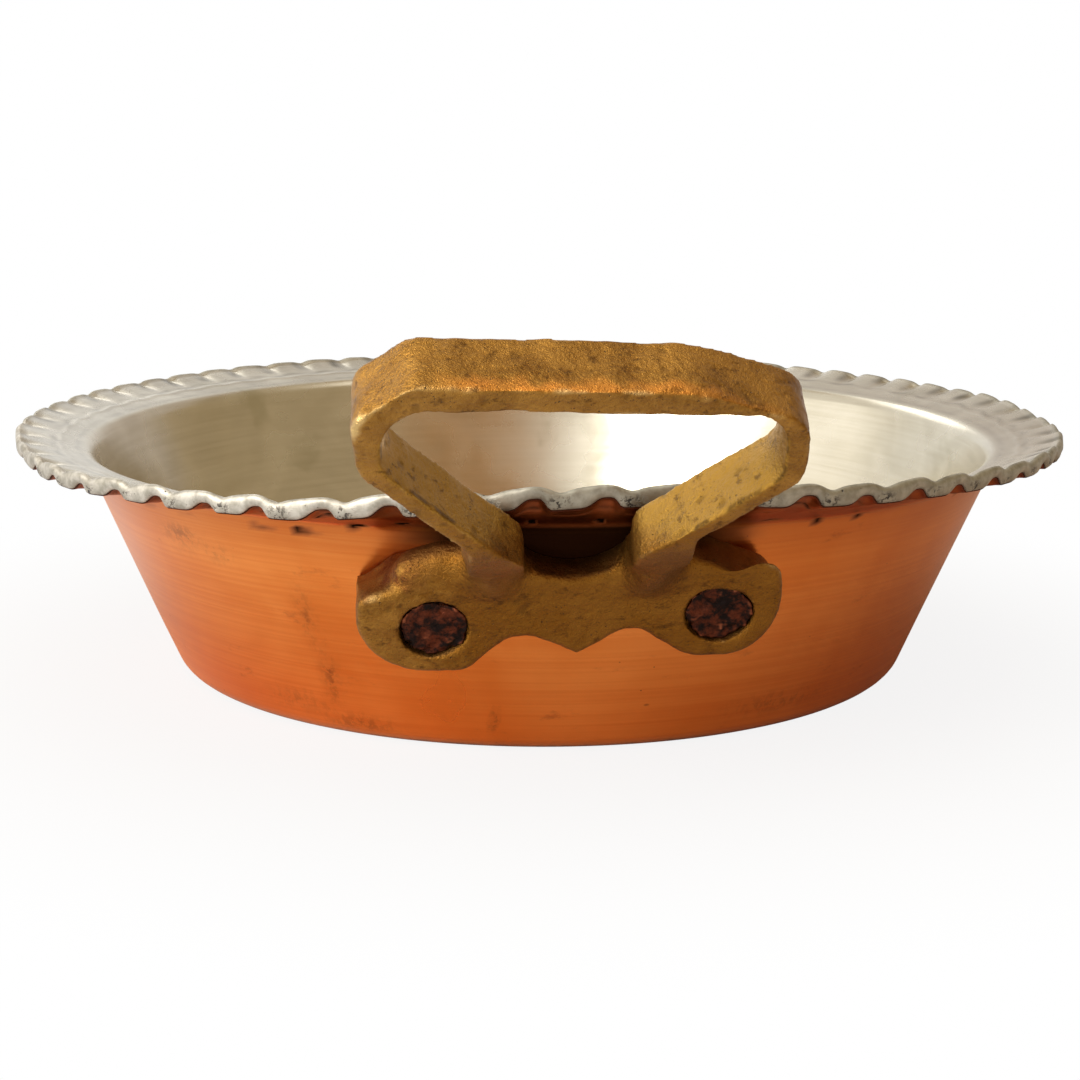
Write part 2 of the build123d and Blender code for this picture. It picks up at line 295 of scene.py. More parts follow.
def copper_material():
    """Spun copper: orange, satin, with turning lines, brown smudges and small specks."""
    n = Nodes(bpy.data.materials.new("spun_copper"))
    fine = n.noise(n.round_place(6, 1.0), 2.4, detail=4, low=0.25, high=0.75)
    rings = n.noise(n.round_place(1.2, 0.5), 1.1, detail=2)
    cloud = n.noise(n.place(), 0.028, detail=3, distortion=0.4)
    smudge = n.noise(n.place((1, 1, 2.2)), 0.075, detail=5, roughness=0.7, low=0.60, high=0.74)
    speck = n.specks(n.place((0.7, 0.7, 1.3)), 0.19, 0.11, 0.10)
    grit = n.specks(n.place(), 0.42, 0.10, 0.07)
    patchy = n.noise(n.place(), 0.06, detail=2, low=0.45, high=0.6)
    speck = n.math("MULTIPLY", n.math("MAXIMUM", speck, grit), patchy)
    blotch = n.noise(n.place((1, 1, 0.8)), 0.55, detail=4, roughness=0.7, low=0.40, high=0.62)
    # Black painted shade in slots, creases and crevices; there the copper is also rough and not metal.
    painted_shade = n.attribute("painted_shade")
    orange, light_orange, red = (0.80, 0.232, 0.041), (0.93, 0.330, 0.077), (0.70, 0.165, 0.027)
    brown, dark_brown, umber = (0.30, 0.080, 0.028), (0.13, 0.042, 0.018), (0.10, 0.032, 0.016)
    shaded, black = (0.34, 0.075, 0.022), (0.005, 0.003, 0.002)
    colour = n.layered(
        n.mix(cloud, orange, light_orange),
        (rings, 0.35, red),
        (smudge, 0.40, brown),
        (speck, 0.75, umber),
        (n.attribute("marks"), n.ramp(blotch, 0.0, 1.0, 0.25, 1.0), dark_brown),
        (n.attribute("underside"), 1.0, shaded),
        (painted_shade, 1.0, black),
    )
    rough = n.total(0.27, (cloud, 0.06), (smudge, 0.10), (painted_shade, 0.35))
    normal = n.bump(fine, 0.006, 0.8)
    normal = n.bump(rings, 0.02, 0.6, normal)
    unshaded = n.math("SUBTRACT", 1.0, painted_shade)
    sheen = n.math("MULTIPLY", unshaded, 0.5)
    return n.finish(
        Base_Color=colour, Metallic=unshaded, Roughness=rough, Normal=normal, Specular_IOR_Level=sheen
    )


def tin_material():
    """Hand-wiped tin: satin, mottled warm grey, paler and greener in patches, its lip with black pits."""
    n = Nodes(bpy.data.materials.new("wiped_tin"))
    wipe = n.noise(n.place((1, 1, 1.6)), 0.030, detail=2, distortion=1.0)
    mottle = n.noise(n.place(), 0.11, detail=2, low=0.15, high=0.85)
    streak = n.noise(n.round_place(2.2, 0.35), 0.9, detail=3)
    stain = n.noise(n.place(), 0.05, detail=3, distortion=0.6, low=0.60, high=0.72)
    pits = n.specks(n.place(), 0.55, 0.16, 0.16)
    fine_pits = n.specks(n.place(), 1.3, 0.18, 0.12)
    lip = n.attribute("lip")
    rot = n.noise(n.place(), 0.9, detail=4, roughness=0.7, low=0.50, high=0.58)
    pit = n.math("MULTIPLY", n.math("MAXIMUM", pits, fine_pits), lip)
    pit = n.math("MAXIMUM", pit, n.math("MULTIPLY", rot, n.attribute("belly")))
    lip_cloud = n.noise(n.place(), 0.45, detail=4, roughness=0.65)
    silver, light_silver, bright = (0.55, 0.495, 0.375), (0.70, 0.645, 0.52), (0.76, 0.71, 0.60)
    warm_grey, green_grey, dim_grey = (0.52, 0.475, 0.37), (0.38, 0.345, 0.225), (0.36, 0.32, 0.25)
    dark_groove, black = (0.16, 0.14, 0.10), (0.02, 0.017, 0.014)
    fresh_lip = n.mix(lip_cloud, (0.30, 0.275, 0.225), (0.66, 0.62, 0.55))
    old_lip = n.mix(lip_cloud, (0.20, 0.185, 0.14), (0.42, 0.40, 0.33))
    colour = n.layered(
        n.mix(wipe, silver, light_silver),
        (mottle, 0.45, warm_grey),
        (streak, 0.25, bright),
        (stain, 0.45, green_grey),
        # Painted shade on the flange's left and right sides.
        (n.attribute("grey"), n.ramp(mottle, 0.0, 1.0, 0.5, 1.0), dim_grey),
        # Painted shade in the flutes' valleys and along seams.
        (n.attribute("valley_shade"), 0.90, dark_groove),
        (lip, 0.75, n.mix(n.attribute("aged"), fresh_lip, old_lip)),
        (pit, 1.0, black),
    )
    rough = n.total(0.21, (mottle, 0.05), (wipe, 0.05), (lip, 0.28))
    normal = n.bump(mottle, 0.03, 0.4)
    normal = n.bump(streak, 0.02, 0.4, normal)
    normal = n.bump(n.math("SUBTRACT", 1.0, pit), 0.25, 1.0, normal)
    metal = n.math("SUBTRACT", 0.93, n.math("MULTIPLY", pit, 0.9))
    return n.finish(Base_Color=colour, Metallic=metal, Roughness=rough, Normal=normal)


def brass_material():
    """Sand-cast brass: golden brown, darker in its hollows and bright on its worn edges."""
    n = Nodes(bpy.data.materials.new("worn_brass"))
    cloud = n.noise(n.place(), 0.09, detail=4, distortion=0.5)
    grain = n.noise(n.place(), 1.1, detail=4, roughness=0.7)
    sand = n.noise(n.place(), 3.2, detail=2)
    pits = n.specks(n.place(), 0.75, 0.17, 0.22)
    small_pits = n.specks(n.place(), 1.9, 0.26, 0.30)
    where = n.noise(n.place(), 0.14, detail=3, low=0.42, high=0.60)
    pit = n.math("MULTIPLY", n.math("MAXIMUM", pits, small_pits), where)
    soil = n.noise(n.place((1, 1, 1.5)), 0.35, detail=6, roughness=0.75, low=0.54, high=0.66)
    edge, dull = n.attribute("edge"), n.attribute("dull")
    brown, gold, light_gold = (0.19, 0.078, 0.011), (0.40, 0.195, 0.036), (0.50, 0.28, 0.066)
    yellow, deep_brown, orange = (0.46, 0.26, 0.045), (0.21, 0.080, 0.008), (0.78, 0.30, 0.05)
    soiled, dulled, hollow_brown = (0.085, 0.034, 0.008), (0.13, 0.065, 0.024), (0.105, 0.050, 0.012)
    red_brown, worn, black = (0.11, 0.026, 0.009), (0.76, 0.53, 0.22), (0.030, 0.016, 0.008)
    colour = n.layered(
        n.mix(cloud, brown, gold),
        (grain, 0.30, light_gold),
        # Painted light: the legs' inner faces lighter and yellower.
        (n.attribute("inner"), 0.75, yellow),
        # Painted shade on the plate's front face and under the feet.
        (n.attribute("front"), 0.70, deep_brown),
        (n.attribute("glow"), n.ramp(cloud, 0.0, 1.0, 0.3, 0.9), orange),
        (soil, 0.65, soiled),
        # Painted shade on the plate's top.
        (dull, 0.60, dulled),
        # Darker in the casting's hollows and crevices.
        (n.attribute("hollow"), 0.80, hollow_brown),
        (n.attribute("stain"), n.ramp(grain, 0.2, 0.8, 0.55, 0.95), red_brown),
        (edge, 0.70, worn),
        (pit, 0.85, black),
    )
    rough = n.total(0.31, (cloud, 0.08), (grain, 0.08), (dull, 0.15), (edge, -0.12))
    normal = n.bump(sand, 0.06, 0.6)
    normal = n.bump(grain, 0.16, 0.7, normal)
    normal = n.bump(n.math("SUBTRACT", 1.0, pit), 0.30, 0.9, normal)
    metal = n.math("SUBTRACT", 1.0, n.math("MULTIPLY", pit, 0.55))
    return n.finish(Base_Color=colour, Metallic=metal, Roughness=rough, Normal=normal)


def rivet_material():
    """Hammered copper, nearly black with age, reddish where it is worn."""
    n = Nodes(bpy.data.materials.new("hammered_copper"))
    cloud = n.noise(n.place(), 0.30, detail=5, roughness=0.7, low=0.42, high=0.62)
    grain = n.noise(n.place(), 1.6, detail=4)
    black, dark_red = (0.009, 0.004, 0.003), (0.12, 0.026, 0.009)
    red, soot = (0.52, 0.16, 0.07), (0.010, 0.005, 0.004)
    colour = n.layered(n.mix(cloud, black, dark_red), (n.attribute("edge"), 0.6, red), (grain, 0.25, soot))
    rough = n.total(0.30, (grain, 0.2))
    normal = n.bump(grain, 0.10, 0.6)
    return n.finish(Base_Color=colour, Metallic=0.85, Roughness=rough, Normal=normal)


# The sheet
def corner_points(corner, into, out, radius, steps):
    """An arc that rounds the corner between two headings: its points, each with its own heading."""
    turn = out - into
    reach = abs(radius * math.tan(turn / 2))
    start = corner - reach * np.array([math.cos(into), math.sin(into)])
    side = 1 if turn > 0 else -1
    centre = start + side * radius * np.array([-math.sin(into), math.cos(into)])
    found = []
    for share in np.linspace(0, 1, steps):
        angle = into + turn * share
        found.append((centre + side * radius * np.array([math.sin(angle), -math.cos(angle)]), angle))
    return found


def section():
    """The outer line of the pan's half section: points and headings, from its middle to the flange."""
    climb = math.pi / 2 - wall_lean
    base_corner = np.array([base_radius, 0.0])
    root_corner = np.array([root_radius, root_height])
    stations = [(np.array([radius, 0.0]), 0.0) for radius in base_steps]
    base_arc = corner_points(base_corner, 0, climb, base_bend + sheet, 9)
    root_arc = corner_points(root_corner, climb, flange_slope, root_bend, 8)
    stations += base_arc
    start, end = base_arc[-1][0], root_arc[0][0]
    stations += [(start + (end - start) * share, climb) for share in wall_shares]
    stations += root_arc
    return stations


def flange_point(radius, depth):
    """A point of the flange's cone at a radius, a depth of sheet above its underside."""
    rise = (radius - root_radius) * math.tan(flange_slope)
    return np.array([radius, root_height + rise + depth / math.cos(flange_slope)])


def flute_phase(angle):
    """How far round in flutes an angle lies, as a phase; they are wider at the front."""
    return flute_count * angle - flute_spread * np.sin(angle - handle_at)


def crest_phase(angle):
    """How far past the chosen crest an angle lies, as a phase."""
    return flute_phase(angle) - flute_phase(crest_at)


def flute_wave(angle, depth_share):
    """The wave's height at the lip for each angle, from the copper's face (0) to the tin's (1)."""
    rng = np.random.default_rng(7)
    phase = crest_phase(angle) + wander(rng, angle, 0.05, 0.16, (5, 9, 14, 23, 31))
    height = 1 + wander(rng, angle, 0.03, 0.08, (4, 7, 17, 29))
    for middle, less, width in flute_softer:
        aside = wrapped(angle - math.radians(middle))
        height = height * (1 - less * np.exp(-((aside / width) ** 2)))
    # Below, each flute is an arch that starts softly and ends steeply.
    turn = wrapped(phase)
    soft_side = np.exp(-((np.abs(turn) / 1.35) ** 2.6))
    steep_side = np.exp(-((np.abs(turn) / 1.12) ** 5))
    under = 2 * np.where(turn < 0, soft_side, steep_side) - 1
    # Above, the wave leans to one side, and at the back its crests are broader.
    lean = 0.50
    skewed = phase - lean * np.cos(phase) + lean
    broad = 1 - 2 * np.exp(1.6 * (-np.cos(skewed) - 1))
    pillow = 0.35 + 0.35 * smooth(-0.3, 0.6, np.sin(angle))
    top = (1 - pillow) * np.cos(skewed) + pillow * broad
    return height * ((1 - depth_share) * under_height * under + depth_share * top_height * top)


def crimp_marks(angle, radius):
    """What the crimping tool left under the flange: a bite below each arch, and a wavy crease."""
    phase = crest_phase(angle)
    turn = wrapped(phase)
    number = np.floor((phase + np.pi) / (2 * np.pi))
    uneven = 0.65 + 0.35 * np.sin(number * 12.9898 + 1.3)
    # Left and right of the handle the bites are longer, narrower and nearer to the wall.
    left = 1 - smooth(math.radians(-118), math.radians(-103), angle)
    right = smooth(math.radians(-80), math.radians(-60), angle)
    aside = np.maximum(left, right)
    length = 0.55 + 1.45 * left + 0.35 * right
    shift = 0.15 - 0.60 * left - 0.25 * right - 0.3 * np.sin(number * 7.1)
    width = 1.05 - 0.65 * aside
    bite_at = 109.5 - 5.1 * aside - 0.75 * left - 0.12 * left * (turn - 0.5)
    around = np.exp(-(((turn + shift) / length) ** 4))
    bite = uneven * around * np.exp(-(((radius - bite_at) / width) ** 4))
    crease_at = 114.4 + 0.8 * np.cos(turn)
    crease = (0.6 + 0.4 * np.sin(number * 3.7)) * np.exp(-(((radius - crease_at) / 0.45) ** 2))
    return bite, crease


def rim_lift(angle):
    """The lip's height above a true cone, drawn softly through the sizes read from the photograph."""
    angles = np.radians(left_angles + front_angles + right_angles + back_angles)
    lifts = np.array(left_lifts + front_lifts + right_lifts + back_lifts)
    width = math.radians(6.5)
    away = wrapped(angle[:, None] - angles)
    span = 0.5 * (np.roll(angles, -1) - np.roll(angles, 1)) % np.pi
    weight = span * np.exp(-((away / width) ** 2)) + 1e-9 * np.exp(-np.abs(away))
    return weight @ lifts / weight.sum(1)


def worked(angle, radius, height, depth_share):
    """Moves points of the sheet as the maker's hand did: flutes, a wavy rim and a wall not quite round."""
    # The flutes rise gently at first and then more steeply, and a small ridge marks where they start.
    share = 0.3 * smooth(flute_inner, 114.5, radius) + 0.7 * smooth(113.0, flute_full, radius)
    out = np.clip((radius - root_radius + 0.5) / (flange_width + 0.5), 0, None)
    lift = rim_lift(angle) * out
    ridge_at = flute_inner - 0.3 * np.cos(flute_phase(angle))
    ridge = 0.10 * np.exp(-(((radius - ridge_at) / 0.55) ** 2))
    bead = smooth(117.4, 119.4, radius) * (0.60 * depth_share - 0.34)
    bite, crease = crimp_marks(angle, radius)
    new_height = height + share * flute_wave(angle, depth_share) + lift + ridge * depth_share + bead
    new_height = new_height + (0.50 * bite + 0.22 * crease) * (1 - depth_share) ** 4
    rng = np.random.default_rng(11)
    lip = smooth(114.0, 120.0, radius)
    in_out = wander(rng, angle, 0.05, 0.14, (6, 13, 27, 44))
    # The wall's dents fade out at the base, at the flange and behind the handle's plate.
    clear = 1 - np.exp(-(((angle - handle_at) / 0.42) ** 4))
    wall = smooth(2.0, 14.0, height) * (1 - smooth(44.0, 50.0, height)) * clear
    dents = wander(rng, angle, 0.02, 0.07, (3, 7, 11, 19), shift=height * 0.05)
    new_radius = radius - lip * (0.35 + np.clip(in_out, -0.3, 0.3)) + wall * dents
    return new_radius, new_height


def ring(radius, height, depth_share, steps):
    """One ring of the sheet's mesh, as points."""
    angle = np.linspace(-np.pi, np.pi, steps, endpoint=False)
    new_radius, new_height = worked(angle, np.full(steps, radius), np.full(steps, height), depth_share)
    return np.stack([new_radius * np.cos(angle), new_radius * np.sin(angle), new_height], 1)


def bridge(first, first_count, second, second_count):
    """Faces between two rings whose points start at given indices; one may be finer than the other."""
    faces = []
    if first_count == second_count:
        for i in range(first_count):
            j = (i + 1) % first_count
            faces.append((first + i, first + j, second + j, second + i))
    elif first_count < second_count:
        share = second_count // first_count
        for i in range(first_count):
            fine = [second + (i * share + k) % second_count for k in range(share, -1, -1)]
            faces.append((first + i, first + (i + 1) % first_count, *fine))
    else:
        share = first_count // second_count
        for i in range(second_count):
            fine = [first + (i * share + k) % first_count for k in range(share + 1)]
            faces.append((*fine, second + (i + 1) % second_count, second + i))
    return faces


def shell(name, rings, material):
    """A closed piece from rings, each (radius, height, depth share, fine); the first and last are capped."""
    points, faces, starts = [], [], []
    total = 0
    for radius, height, depth_share, fine in rings:
        steps = steps_round if fine else coarse_steps
        points.append(ring(radius, height, depth_share, steps))
        starts.append((total, steps))
        total += steps
    for (first, count), (second, next_count) in zip(starts, starts[1:]):
        faces += bridge(first, count, second, next_count)
    for (start, count), height, flip in ((starts[0], rings[0][1], True), (starts[-1], rings[-1][1], False)):
        points.append(np.array([[0, 0, height]]))
        for i in range(count):
            corners = (start + i, start + (i + 1) % count, total)
            faces.append(corners[::-1] if flip else corners)
        total += 1
    return piece_from(name, np.concatenate(points), faces, material)


def layer(depth, end_radius):
    """Rings of one face of the sheet, from the middle out to a radius of the flange."""
    share = depth / sheet
    rings = []
    for point, heading in section():
        normal = np.array([-math.sin(heading), math.cos(heading)])
        radius, height = point + depth * normal
        rings.append((radius, height, share, False))
    first = rings[-1][0]
    rings.append((*flange_point((first + fine_from) / 2, depth), share, False))
    for radius in np.linspace(fine_from, end_radius, fine_rings):
        rings.append((*flange_point(radius, depth), share, True))
    return rings


def lip_round(start_depth, end_depth, steps):
    """The lip's rounded edge between two depths of the sheet."""
    middle = sheet / 2
    rings = []
    for depth in np.linspace(start_depth, end_depth, steps):
        inward = 0.75 * (abs(depth - middle) / middle) ** 2.6
        rings.append((*flange_point(rim_radius - inward, depth), depth / sheet, True))
    return rings


def store_shares(piece, **shares):
    """Stores named shares, one per point, for the materials."""
    for name, values in shares.items():
        attribute = piece.data.attributes.new(name, "FLOAT", "POINT")
        attribute.data.foreach_set("value", np.asarray(values, np.float32))


def points_of(piece):
    """A piece's points in millimetres."""
    flat = np.empty(3 * len(piece.data.vertices))
    piece.data.vertices.foreach_get("co", flat)
    return flat.reshape(-1, 3) / mm


def wall_painted_shade(angle, radius, at, uneven):
    """Where the copper's outside has black painted shade: in slots and creases, under the flutes and behind
    the loop.
    """
    up, aside = at[:, 2], np.abs(angle - handle_at) * radius
    bite, crease = crimp_marks(angle, radius)
    # Painted shade on the wall's top between the handle's feet, and in the pocket behind its plate.
    handle_shade = smooth(45.0, 47.5, up) * (1 - smooth(50.2, 52.5, up)) * (1 - smooth(22.0, 40.0, aside))
    pocket = smooth(31.0, 37.0, up) * (1 - smooth(50.5, 52.0, up)) * (1 - smooth(13.0, 19.0, aside))
    front = at[:, 1] < 0
    handle_shade = np.maximum(handle_shade, pocket * (radius < 109) * front) * front
    # Painted shade in the tool's slots, along the crease, under the arches and under the lip.
    slot = smooth(0.20, 0.50, bite * (0.7 + 0.6 * uneven) - 0.05)
    painted_shade = np.clip(slot + crease * (0.35 + 0.6 * uneven) + 0.97 * handle_shade, 0, 1)
    arch = 0.5 + 0.5 * np.cos(crest_phase(angle))
    left = 1 - smooth(math.radians(-112), math.radians(-98), angle)
    arches = smooth(112.5, 114.5, radius) * arch * (0.30 + 0.45 * uneven) * (0.35 + 0.65 * left)
    painted_shade = np.clip(painted_shade + arches, 0, 1)
    return np.maximum(painted_shade, 0.85 * smooth(118.1, 118.7, radius))


def copper_shares(at):
    """How black, how shaded and how marked the copper's outside is at each point."""
    angle = np.arctan2(at[:, 1], at[:, 0])
    radius = np.hypot(at[:, 0], at[:, 1])
    up = at[:, 2]
    uneven = 0.5 + 0.5 * np.clip(waves(at, 61, 3.0), -1, 1)
    bend = 104.8  # the radius where the wall becomes the flange
    under = smooth(bend, 107.5, radius) * 0.75 + 0.40 * smooth(38.0, 49.0, up) * (radius < bend)
    under += 0.25 * smooth(116.5, 118.5, radius)
    marks = (1 - smooth(0.3, 1.8, up)) * (0.35 + 0.4 * uneven) * (radius > 70)
    for middle, height, wide, tall, strength in wall_marks:
        turned = (angle - math.radians(middle)) * radius
        spot = np.exp(-((turned / wide) ** 2) - ((up - height) / tall) ** 2)
        marks = np.maximum(marks, strength * spot)
    return {"painted_shade": wall_painted_shade(angle, radius, at, uneven), "underside": under, "marks": marks}


def make_copper():
    """The copper sheet, with painted shade in the slots where the crimping tool bit."""
    end = rim_radius - 0.95
    edge_depths = (0.15, 0.9, copper_thickness - 0.1)
    outside = layer(0.0, end)
    outside += [(*flange_point(end, depth), depth / sheet, True) for depth in edge_depths]
    inside = layer(copper_thickness - 0.02, end - 0.1)[::-1]
    piece = shell("copper_sheet", outside + inside, copper_material())
    at = points_of(piece)
    outer = np.arange(len(at)) < sum(steps_round if fine else coarse_steps for *_, fine in outside)
    store_shares(piece, **{name: outer * share for name, share in copper_shares(at).items()})
    return piece


def tin_shares(at):
    """How much painted shade the tin has in its valleys, seams and sides, and how lip-like, pitted and aged
    it is at each point.
    """
    radius = np.hypot(at[:, 0], at[:, 1])
    angle = np.arctan2(at[:, 1], at[:, 0])
    lip = smooth(117.6, 119.0, radius)
    turn = np.mod(crest_phase(angle), 2 * np.pi)
    above = (at[:, 2] - flange_point(radius, 0)[1] - rim_lift(angle)) / sheet
    belly = np.exp(-(((turn - 2.1) / 1.0) ** 2)) * (1 - smooth(0.0, 0.8, above)) * lip
    # Painted shade in the flutes' valleys, and along a seam where they start and another near the root.
    low = 0.5 - 0.5 * np.cos(turn - 0.35)
    fluted = smooth(112.0, 115.5, radius) * (1 - smooth(118.8, 119.6, radius))
    seam_at = 111.4 + 0.5 * np.cos(turn)
    seam = 0.5 * np.exp(-(((radius - seam_at) / 0.7) ** 2))
    seam += 0.35 * np.exp(-(((radius - 106.0) / 0.6) ** 2))
    valley_shade = (low**5 * fluted + seam) * (0.6 + 0.4 * np.clip(waves(at, 71, 9.0), -1, 1))
    # Painted shade on the flange's left and right sides, away from the front.
    dim_sides = np.maximum(smooth(-10.0, 60.0, -at[:, 0]), 0.7 * smooth(70.0, 100.0, at[:, 0]))
    grey = 0.7 * smooth(104.0, 106.0, radius) * dim_sides * smooth(-75.0, -30.0, at[:, 1])
    aged = smooth(math.radians(-108), math.radians(-90), angle)
    return {"valley_shade": np.clip(valley_shade, 0, 1), "grey": grey, "lip": lip, "belly": belly, "aged": aged}


def make_tin():
    """The tinning: a thin coat on the inside that wraps over the lip."""
    depth = copper_thickness + 0.02
    end = rim_radius - 0.9
    rings = layer(depth, end) + [(*flange_point(end, d), d / sheet, True) for d in (1.2, 0.5, 0.12)]
    rings += lip_round(0.12, sheet, 9)
    rings += layer(sheet, rim_radius - 1.15)[::-1]
    piece = shell("tin_coat", rings, tin_material())
    store_shares(piece, **tin_shares(points_of(piece)))
    return piece


# Cast pieces
def cad_mesh(node):
    """A copy of a CAD node's mesh."""
    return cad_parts[node].data.copy()


def remeshed(mesh, name, size, rounds, material):
    """An even, softened piece from a mesh; closed shells that overlap become one."""
    piece = bpy.data.objects.new(name, mesh)
    bpy.context.collection.objects.link(piece)
    mesh.materials.clear()
    mesh.materials.append(material)
    even = piece.modifiers.new("even", "REMESH")
    even.mode = "VOXEL"
    even.voxel_size = size * mm
    soft = piece.modifiers.new("soft", "SMOOTH")
    soft.factor = 0.5
    soft.iterations = rounds
    bpy.context.view_layer.update()
    graph = bpy.context.evaluated_depsgraph_get()
    made = bpy.data.meshes.new_from_object(piece.evaluated_get(graph))
    piece.modifiers.clear()
    piece.data = made
    made.name = name
    made.shade_smooth()
    return piece


def neighbours(mesh):
    """The mesh's edges as two index arrays, and how many each point has."""
    pairs = np.empty(2 * len(mesh.edges), np.int64)
    mesh.edges.foreach_get("vertices", pairs)
    pairs = pairs.reshape(-1, 2)
    count = np.bincount(pairs.ravel(), minlength=len(mesh.vertices))
    return pairs, np.maximum(count, 1)


def spread(values, pairs, count, rounds):
    """Averages values over neighbouring points."""
    values = np.asarray(values, float)
    ends, others = np.concatenate([pairs, pairs[:, ::-1]]).T
    for _ in range(rounds):
        columns = np.atleast_2d(values.T)
        total = [np.bincount(ends, column[others], len(count)) for column in columns]
        total = (np.array(total) / count).T
        values = 0.5 * values + 0.5 * total.reshape(values.shape)
    return values


def normals_of(mesh):
    """The mesh's normals at its points."""
    flat = np.empty(3 * len(mesh.vertices))
    mesh.vertices.foreach_get("normal", flat)
    return flat.reshape(-1, 3)


def bulge(piece, rounds, reach):
    """How far each point stands out of its surroundings, along its normal, in millimetres."""
    at = points_of(piece)
    pairs, count = neighbours(piece.data)
    level = spread(at, pairs, count, reach)
    out = np.einsum("ij,ij->i", at - level, normals_of(piece.data))
    return spread(out, pairs, count, rounds)


def fill_corners(piece, rounds, where):
    """Rounds a cast piece's inner corners by filling them, more where the given share is high."""
    at = points_of(piece)
    pairs, count = neighbours(piece.data)
    share = where(at)
    for _ in range(rounds):
        step = spread(at, pairs, count, 1) - at
        normal = normals_of(piece.data)
        out = np.clip(np.einsum("ij,ij->i", step, normal), 0, None)
        at = at + normal * (1.6 * out * share)[:, None]
        place_points(piece, at)


def off_wall(points):
    """How far out of the pan's wall points lie, measured level, in millimetres."""
    return np.hypot(points[:, 0], points[:, 1]) - base_radius - points[:, 2] * math.tan(wall_lean)


def corner_share(points):
    """How much of the filling each part of the handle gets: all where its feet grow out of the plate."""
    height = points[:, 2]
    feet = smooth(37.0, 41.0, height) * (1 - smooth(58.0, 64.0, height))
    loop = 0.35 * smooth(62.0, 66.0, height)
    return (feet + loop) * smooth(1.5, 4.0, off_wall(points))


def joined(meshes, mounds=()):
    """Closed meshes and rows of balls, all overlapping, as one mesh."""
    balls_in_row = 14
    build = bmesh.new()
    for mesh in meshes:
        build.from_mesh(mesh)
    for start, end, first, last in mounds:
        for share in np.linspace(0, 1, balls_in_row):
            place = Matrix.Translation(Vector(start).lerp(Vector(end), share) * mm)
            radius = (first + (last - first) * share) * mm
            bmesh.ops.create_icosphere(build, subdivisions=2, radius=radius, matrix=place)
    together = bpy.data.meshes.new("together")
    build.to_mesh(together)
    build.free()
    return together


def place_points(piece, points):
    """Moves a piece's points to new places in millimetres."""
    piece.data.vertices.foreach_set("co", (points * mm).ravel())
    piece.data.update()


def cast_shape(material):
    """The casting and the depth of its dimples: filled corners, shifted lobes and uneven faces."""
    # A coarse copy has its inner corners filled, and the CAD's own mesh keeps the outer ones sharp.
    filled = remeshed(joined([cad_mesh("handle")], foot_mounds), "filled_corners", 1.0, 2, material)
    fill_corners(filled, 200, corner_share)
    piece = remeshed(joined([cad_mesh("handle"), filled.data]), "brass_handle", 0.45, 6, material)
    bpy.data.objects.remove(filled)
    at = points_of(piece)
    normal = normals_of(piece.data)
    uneven = 0.11 * waves(at, 3, 15) + 0.045 * waves(at, 5, 5) + 0.022 * waves(at, 8, 2.2, 40)
    dimple = 0.12 * np.clip(waves(at, 13, 4.2, 40) - 1.6, 0, 1)
    dimple += 0.12 * np.clip(waves(at, 17, 2.4, 40) - 1.8, 0, 1)
    near_plate = smooth(37.5, 45.0, at[:, 2]) * (1 - smooth(50.0, 54.0, at[:, 2]))
    near_plate *= 1 - smooth(10.0, 13.0, off_wall(at))
    at[:, 2] += near_plate * np.interp(at[:, 0], lobe_places, lobe_lifts)
    free = smooth(0.8, 2.5, off_wall(at))
    at += normal * ((uneven - dimple) * free)[:, None]
    place_points(piece, at)
    return piece, dimple


def strap_shares(at, normal, out):
    """The loop's inner faces painted lighter, its painted glow low on the bar, its worn line with a painted
    highlight, and the crevice inside its legs.
    """
    across, up = at[:, 0], at[:, 2]
    legs = smooth(52.0, 57.0, up) * (1 - smooth(74.0, 78.0, up))
    # The legs' inner faces are painted lighter and yellower: painted light.
    inner = legs * smooth(0.2, 0.6, -normal[:, 0] * np.sign(across))
    # How far across the strap's width a point lies: the most is at the edge that faces the camera.
    across_strap = -at[:, 1] * math.sin(loop_climb) - up * math.cos(loop_climb)
    facing = smooth(0.5, 0.8, normal[:, 2] * math.sin(loop_climb) - normal[:, 1] * math.cos(loop_climb))
    near_edge = smooth(70.8, 73.6, across_strap + 0.5 * waves(at, 27, 4))
    near_edge *= 1 - smooth(74.5, 75.3, across_strap)
    middle = smooth(-30, -18, across) * (1 - smooth(12, 34, across)) * smooth(74, 78, up)
    # A bright line along the bar's lower front edge, on its left: partly wear, partly painted highlight.
    highlit_worn_line = smooth(72.6, 73.4, across_strap) * smooth(0.06, 0.22, out) * smooth(72, 76, up)
    highlit_worn_line *= smooth(-0.6, 0.6, waves(at, 29, 7)) * (1 - smooth(5, 22, across))
    crevice = legs * smooth(73.0, 73.6, across_strap) * (1 - smooth(74.0, 74.6, across_strap)) * inner
    crevice *= smooth(-0.3, 0.5, waves(at, 33, 5))
    return inner, facing * near_edge * middle, highlit_worn_line, crevice


